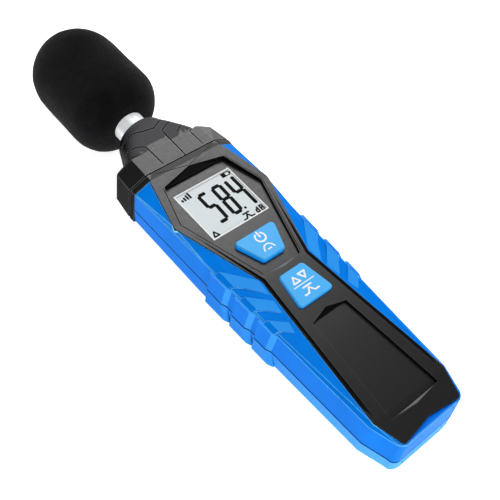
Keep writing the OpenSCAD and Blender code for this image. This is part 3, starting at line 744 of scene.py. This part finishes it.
# the reading's strokes in millimetres from the window's middle, their width and clipped ends, and its point
FIVE = [((-5.0, 7.8), (-2.75, 7.8)), ((-5.75, 7.1), (-5.75, 1.5)), ((-5.2, 0.72), (-2.9, 0.72)),
        ((-2.45, 0.0), (-2.75, -6.7)), ((-5.9, -7.5), (-3.6, -7.5))]
EIGHT = [((1.9, 7.85), (4.5, 7.85)), ((1.3, 7.1), (1.2, 1.5)), ((5.1, 7.1), (5.0, 1.4)),
         ((1.9, 0.72), (4.4, 0.72)), ((1.15, -0.1), (0.95, -6.6)), ((4.95, -0.1), (4.65, -6.6)),
         ((1.6, -7.4), (4.0, -7.4))]
FOUR = [((8.3, 7.4), (8.25, 1.5)), ((8.9, 0.75), (11.5, 0.75)), ((12.1, 8.0), (12.1, 1.5)),
        ((12.05, 0.0), (11.95, -7.6))]
DIGIT_STROKE = 1.6
DIGIT_CUT = 0.75
SYMBOL_CUT = 0.7
POINT = bar((6.5, -6.9), (6.5, -7.75), 1.0, 0.3, 4)
# the display glass lies under the window, so its reading sits a little off the window's middle
READING_OFFSET = (0.00030, 0.00026)
WINDOW_RIM = 0.5


def battery_symbol():
    """An outlined cell, half full, with its end cap."""
    case = [rect(8.9, 9.7, 13.0, 10.15), rect(8.9, 11.55, 13.0, 12.0), rect(8.9, 10.15, 9.35, 11.55),
            rect(12.55, 10.15, 13.0, 11.55)]
    return case + [rect(13.0, 10.4, 13.6, 11.3), rect(9.35, 10.15, 11.0, 11.55)]


def display():
    """The reading and its symbols on the display glass, and the window's white border."""
    lens_lo, lens_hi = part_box("display_lens")
    glass_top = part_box("display_glass")[1].z
    cx, cy = middle(lens_lo, lens_hi)
    ink = [bar(a, b, DIGIT_STROKE, DIGIT_CUT, 6) for a, b in FIVE + EIGHT + FOUR]
    ink.append(POINT)
    ink += battery_symbol()
    for names, x, y, high, wide, weight in (
            (("bars",), -10.4, 10.3, 2.6, 3.9, 0.9),
            (("up",), -11.9, -10.7, 2.5, 2.4, 0.7),
            (("peak",), 4.8, -10.9, 2.5, 5.4, 0.75),
            ("dB", 11.0, -11.0, 2.6, 1.2, 0.75)):
        ink += symbols(names, x, y, high, wide, weight, SYMBOL_CUT)
    ink = moved(ink, cx + READING_OFFSET[0], cy + READING_OFFSET[1])
    segments = sheet_mesh("lcd_segments", ink, glass_top + GLASS_PRINT_LIFT)
    new_piece("lcd_segments", segments, lcd_ink, "case")
    w, h = (lens_hi.x - lens_lo.x) / 2 / MM, (lens_hi.y - lens_lo.y) / 2 / MM
    rim = moved(frame_of(-w, -h, w, h, WINDOW_RIM), cx, cy)
    border = sheet_mesh("window_border", rim, lens_hi.z + LENS_PRINT_LIFT)
    new_piece("window_border", border, lcd_edge, "case")


def ring_stroke(cx, cy, r, width, start, end, steps=36):
    """An open ring as one outline."""
    return arc(cx, cy, r + width / 2, start, end, steps) + arc(cx, cy, r - width / 2, end, start, steps)


def key_mark(name, marks, x, y, key_top, body):
    """Marks in millimetres about a place on a key's top."""
    mesh = sheet_mesh(name, moved(marks, x, y), key_top + KEY_PRINT_LIFT)
    new_piece(name, mesh, legend_white, body)


def key_marks():
    """The power symbol over a filter curve, and two triangles over a peak."""
    lo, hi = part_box("power_button")
    marks = [ring_stroke(0.4, -4.6, 2.15, 0.75, 118, 422), bar((0.4, -4.4), (0.4, -1.9), 0.75, 1.0)]
    marks += symbols(("curve",), 0.0, -9.6, 2.4, 5.0, 0.6)
    key_mark("power_mark", marks, middle(lo, hi)[0], hi.y, hi.z, "power_key")
    lo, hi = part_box("mode_button")
    marks = symbols(("up", "down"), 0.0, 2.9, 2.9, 3.2, 0.7) + symbols(("peak",), 0.0, -3.2, 2.9, 7.0, 0.7)
    marks.append(rect(-5.2, -0.2, 5.2, 0.2))
    key_mark("mode_mark", marks, *middle(lo, hi), hi.z, "mode_key")


display()
key_marks()


# ---------- floor, lights and camera ----------

FLOOR_HALF = 6.0
FLOOR_GAP = 0.0003
STUDIO_GLOW = 0.12
# the photograph's camera, found by matching the CAD to it: its right and up directions, and its place from
# the middle of the window
CAMERA_RIGHT = Vector((0.75237, -0.64542, 0.13181))
CAMERA_UP = Vector((0.46547, 0.66247, 0.58692))
CAMERA_OFFSET = Vector((-0.15542, -0.14656, 0.25642))


def pale_floor():
    """A plain floor, on which the meter rests with its foam and the foot of its tail."""
    foam_lo, foam_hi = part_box("windscreen")
    rear_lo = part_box("rear_shell")[0]
    foam_y = (foam_lo.y + foam_hi.y) / 2
    s = FLOOR_HALF
    mesh = bpy.data.meshes.new("floor")
    mesh.from_pydata([(-s, -s, 0), (s, -s, 0), (s, s, 0), (-s, s, 0)], [], [(0, 1, 2, 3)])
    floor = placed("floor", mesh)
    floor.rotation_euler = (math.atan2(foam_lo.z - rear_lo.z, foam_y - rear_lo.y), 0, 0)
    floor.location = (0, foam_y, foam_lo.z - FLOOR_GAP)
    pale = Mat("pale_floor", (0.86, 0.87, 0.88, 1.0), 0.9, Emission_Color=(1.0, 1.0, 1.0, 1.0),
               Emission_Strength=0.9, Specular_IOR_Level=0.1)
    mesh.materials.append(pale.m)


def softbox(name, target, offset, width, height, power, mirrored=False):
    """A rectangular lamp at an offset from its target, which shows in gloss only when it is mirrored."""
    light = bpy.data.lights.new(name, "AREA")
    light.shape = "RECTANGLE"
    light.size, light.size_y = width, height
    light.energy = power
    lamp = placed(name, light)
    lamp.location = target + Vector(offset)
    lamp.visible_glossy = mirrored
    lamp.rotation_mode = "QUATERNION"
    lamp.rotation_quaternion = (target - lamp.location).to_track_quat("-Z", "Y")


def studio_world():
    """White walls that the camera sees, and that give only a little light."""
    world = bpy.data.worlds.new("studio")
    bpy.context.scene.world = world
    world.use_nodes = True
    nodes, links = world.node_tree.nodes, world.node_tree.links
    air = nodes["Background"]
    air.inputs["Color"].default_value = (1, 1, 1, 1)
    path = nodes.new("ShaderNodeLightPath")
    seen = nodes.new("ShaderNodeMapRange")
    seen.inputs["To Min"].default_value = STUDIO_GLOW
    links.new(path.outputs["Is Camera Ray"], seen.inputs["Value"])
    links.new(seen.outputs["Result"], air.inputs["Strength"])


def photo_camera(screen):
    """The camera of the photograph, with its 36 mm frame."""
    data = bpy.data.cameras.new("camera")
    data.sensor_width = 36.0
    data.lens = 59.9
    camera = placed("camera", data)
    turn = Matrix((CAMERA_RIGHT, CAMERA_UP, CAMERA_RIGHT.cross(CAMERA_UP))).transposed().to_4x4()
    camera.matrix_world = Matrix.Translation(screen + CAMERA_OFFSET) @ turn
    bpy.context.scene.camera = camera
    bpy.context.scene.view_settings.view_transform = "Standard"


lo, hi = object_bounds()
centre = (Vector(lo) + Vector(hi)) / 2
tail = centre + Vector((0.0, -0.12, 0.0))
screen_lo, screen_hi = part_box("display_lens")
screen = Vector((*middle(screen_lo, screen_hi), screen_hi.z))
pale_floor()
softbox("key", centre, (-0.30, -1.0, 0.60), 0.5, 0.5, 5)
softbox("tail", tail, (0.30, -0.83, 0.08), 0.3, 0.3, 1.5)
softbox("top", centre, (0.1, 0.0, 1.1), 1.2, 1.2, 3.8)
softbox("sheen", screen, (0.36, 0.46, 0.60), 0.44, 0.44, 3.9, mirrored=True)
softbox("left", centre, (-1.0, 0.1, 0.35), 0.8, 0.5, 0.5)
studio_world()
photo_camera(screen)
